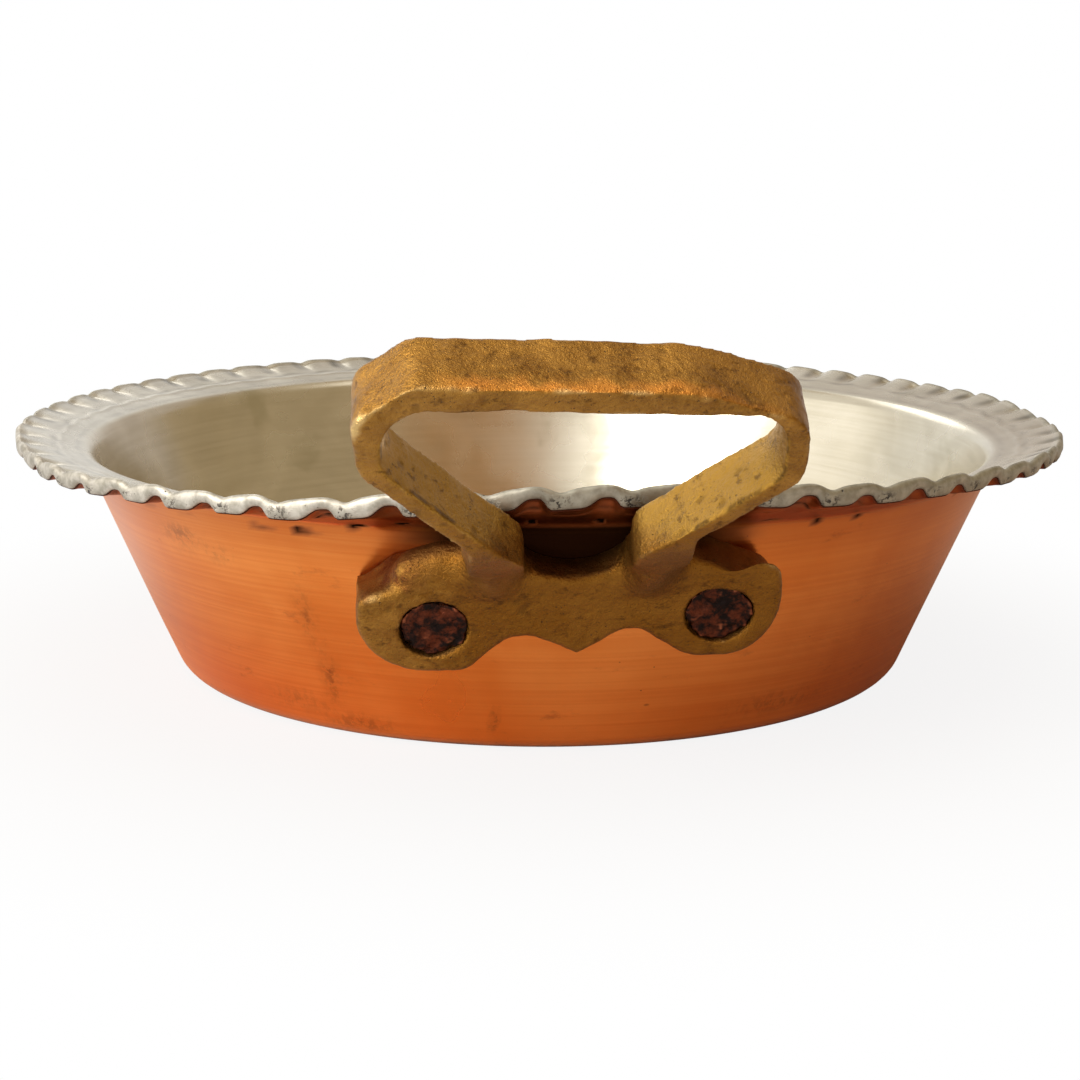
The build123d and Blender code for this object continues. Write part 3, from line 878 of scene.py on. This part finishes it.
def plate_shares(at, normal):
    """The plate's duller top with painted shade, its red-brown left corner, and painted shade on its front
    face and the feet's undersides.
    """
    across, up = at[:, 0], at[:, 2]
    rough_height = up + 1.5 * waves(at, 23, 5)
    left_top = smooth(38.5, 41.5, rough_height) * (1 - smooth(46.0, 50.0, rough_height))
    left_top *= np.exp(-(((across + 36) / 7) ** 2))
    # Painted shade on the plate's top, under the flange, which is also rougher.
    plate_top = smooth(0.25, 0.75, normal[:, 2]) * (1 - smooth(48.0, 54.0, up))
    # Painted shade on the plate's front face and the feet's undersides, less on the left lobe.
    front = smooth(0.2, 0.6, -normal[:, 1]) * (1 - smooth(50.0, 56.0, up))
    under_feet = smooth(0.15, 0.5, -normal[:, 2]) * smooth(40.0, 43.0, up) * (1 - smooth(56.0, 62.0, up))
    front = np.maximum(front, under_feet) * (1 - 0.85 * (1 - smooth(-32, -18, across)))
    return plate_top, left_top, front


def make_handle():
    """The casting with its wear and painted light: bright edges, dark hollows, a duller plate top with
    painted shade, and a glow low on the bar.
    """
    piece, dimple = cast_shape(brass_material())
    at = points_of(piece)
    normal = normals_of(piece.data)
    out = bulge(piece, 2, 12)
    inner, glow, highlit_worn_line, crevice = strap_shares(at, normal, out)
    plate_top, left_top, front = plate_shares(at, normal)
    edge = smooth(0.20, 0.50, out + 0.06 * waves(at, 21, 6)) * (1 - 0.5 * plate_top)
    hollow = np.maximum(smooth(0.10, 0.40, -out) + 0.5 * smooth(0.02, 0.12, dimple), crevice)
    store_shares(
        piece,
        edge=np.maximum(edge, highlit_worn_line),
        hollow=np.clip(hollow, 0, 1),
        stain=np.clip(left_top, 0, 1),
        dull=plate_top,
        front=front,
        inner=inner,
        glow=glow,
    )
    return piece


def make_rivet(side, material):
    """A rivet whose outer end was hammered flat in a few blows."""
    piece = remeshed(cad_mesh(f"rivet_{side}"), f"copper_rivet_{side}", 0.24, 4, material)
    at = points_of(piece)
    normal = normals_of(piece.data)
    seed = 31 if side == "left" else 47
    shown = smooth(4.6, 5.6, off_wall(at))
    blows = 0.20 * waves(at, seed, 5.5) + 0.11 * waves(at, seed + 1, 2.4) + 0.05 * waves(at, seed + 2, 1.1)
    at += normal * ((blows - 0.12) * shown)[:, None]
    place_points(piece, at)
    out = bulge(piece, 1, 6)
    store_shares(piece, edge=smooth(0.05, 0.16, out + 0.03 * waves(at, seed + 3, 3)))
    return piece


# The studio
def make_camera():
    """The photograph's camera, fitted to the pan's rim, wall and base."""
    focal_length, sensor = 72.609, 36
    away, height = 505.664, 132.717
    pitch, yaw, roll = 0.2082, 0.0003, 0.0044
    turn = math.radians(-3.92)  # round the pan, from the side that the handle is on
    data = bpy.data.cameras.new("camera")
    data.lens = focal_length
    data.sensor_width = sensor
    camera = bpy.data.objects.new("camera", data)
    bpy.context.collection.objects.link(camera)
    ahead = Vector((math.sin(yaw) * math.cos(pitch), math.cos(yaw) * math.cos(pitch), -math.sin(pitch)))
    level = Vector((math.cos(yaw), -math.sin(yaw), 0))
    up = level.cross(ahead)
    right = math.cos(roll) * level + math.sin(roll) * up
    above = math.cos(roll) * up - math.sin(roll) * level
    axes = Matrix((right, above, -ahead)).transposed()
    spin = Matrix.Rotation(turn, 3, "Z")
    place = spin @ Vector((0, -away, height)) * mm
    camera.matrix_world = Matrix.Translation(place) @ (spin @ axes).to_4x4()
    bpy.context.scene.camera = camera


def lamp(name, place, width, height, power, target=(0, 0, 0.03), colour=(1, 1, 1)):
    """A soft rectangular lamp that faces a point; its power is in watts."""
    data = bpy.data.lights.new(name, "AREA")
    data.shape = "RECTANGLE"
    data.size, data.size_y = width, height
    data.energy = power
    data.color = colour
    made = bpy.data.objects.new(name, data)
    made.location = place
    made.rotation_euler = (Vector(target) - Vector(place)).to_track_quat("-Z", "Y").to_euler()
    bpy.context.collection.objects.link(made)


def make_world():
    """The room that the metal reflects: bright on the left, dim on the right, warm high in front."""
    bright_side = Vector((-0.88, -0.42, 0.20)).normalized()
    warm_side = (0.259, -0.798, 0.545)
    dim, bright, warm, white = (0.46, 0.36, 0.22), (1.0, 0.97, 0.92), (0.42, 0.20, 0.055), (1, 1, 1)
    n = Nodes(bpy.data.worlds.new("studio"), "OutputWorld")
    bpy.context.scene.world = n.owner
    way = n.node("TexCoord").outputs["Generated"]
    room = n.mix(n.towards(way, bright_side, -0.25, 0.60), dim, bright)
    room = n.mix(n.towards(way, warm_side, 0.88, 0.975), room, warm)
    seen = n.mix(n.node("LightPath").outputs["Is Camera Ray"], room, white)
    sky = n.node("Background")
    n.link(seen, sky.inputs["Color"])
    n.link(sky.outputs[0], n.end.inputs["Surface"])


def floor_material():
    """A floor that the camera sees nearly white, but for the pan's shadow, and that metal sees with painted
    light on the left and painted shade on the right, near the pan and far back.
    """
    n = Nodes(bpy.data.materials.new("floor"))
    path = n.node("LightPath")
    bright_side = (-0.86, -0.50, 0)
    away = n.node("VectorMath", operation="LENGTH")
    n.link(n.place(), away.inputs[0])
    distance = away.outputs["Value"]
    # For metal, painted light whitens the floor on the left, and painted shade darkens it on the right, near
    # the pan and far to the right and back.
    far = n.ramp(distance, 150.0, 900.0)
    near = n.ramp(distance, 84.0, 150.0, 0.12, 1.0)
    side = n.towards(n.place(), bright_side, -130.0, 230.0, 0.03, 1.0)
    back = n.towards(n.place(), bright_side, -1900.0, -950.0, 0.40, 1.0)
    mirrored = n.math("MAXIMUM", n.math("MULTIPLY", far, back), n.math("MULTIPLY", side, near))
    viewed = n.ramp(distance, 85.0, 210.0, 0.88, 1.0)
    glossy = n.math("ADD", path.outputs["Is Glossy Ray"], path.outputs["Is Transmission Ray"])
    share = n.math("MULTIPLY", n.math("MINIMUM", glossy, 1.0), mirrored)
    share = n.math("MAXIMUM", share, n.math("MULTIPLY", path.outputs["Is Camera Ray"], viewed))
    matt = n.node("BsdfDiffuse")
    matt.inputs["Color"].default_value = (0.52, 0.42, 0.34, 1)
    white = n.node("Emission")
    blend = n.node("MixShader")
    n.link(share, blend.inputs[0])
    n.link(matt.outputs[0], blend.inputs[1])
    n.link(white.outputs[0], blend.inputs[2])
    n.link(blend.outputs[0], n.end.inputs["Surface"])
    return n.owner


def make_floor():
    """A floor that curves up behind the pan."""
    half, flat, bend, tall = 3000.0, 1500, 900.0, 2600.0
    line = [(-half, 0.0)] + [(y, 0.0) for y in (-600, 0, 600, flat)]
    turns = np.linspace(0, math.pi / 2, 16)[1:]
    line += [(flat + bend * math.sin(a), bend - bend * math.cos(a)) for a in turns]
    line.append((flat + bend, tall))
    points = [(x, y, z) for y, z in line for x in (-half, half)]
    faces = [(2 * i, 2 * i + 1, 2 * i + 3, 2 * i + 2) for i in range(len(line) - 1)]
    piece_from("floor", points, faces, floor_material())


# Putting it together
hammered = rivet_material()
copper = make_copper()
tin = make_tin()
handle = make_handle()
rivets = {side: make_rivet(side, hammered) for side in ("left", "right")}

for piece, node, finish in (
    (copper, "pan_body", "copper"),
    (tin, "tin_lining", "tin"),
    (handle, "handle", "cast_brass"),
    (rivets["left"], "rivet_left", "rivet_copper"),
    (rivets["right"], "rivet_right", "rivet_copper"),
):
    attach(piece, "root")
    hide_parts(node)

make_floor()
make_world()
# Each lamp's name, place, width and height in metres, and power.
lamp("key", (-1.05, -0.75, 0.75), 0.9, 0.9, 19, colour=(1.0, 0.98, 0.95))
lamp("side", (-1.33, 0.27, 0.56), 0.9, 0.6, 0.9)
lamp("back", (-0.42, 1.25, 0.85), 0.6, 0.5, 2.0)
lamp("top", (0.1, 0.1, 1.5), 1.2, 1.2, 4, target=(0, 0, 0))
make_camera()
bpy.context.scene.view_settings.view_transform = "Standard"
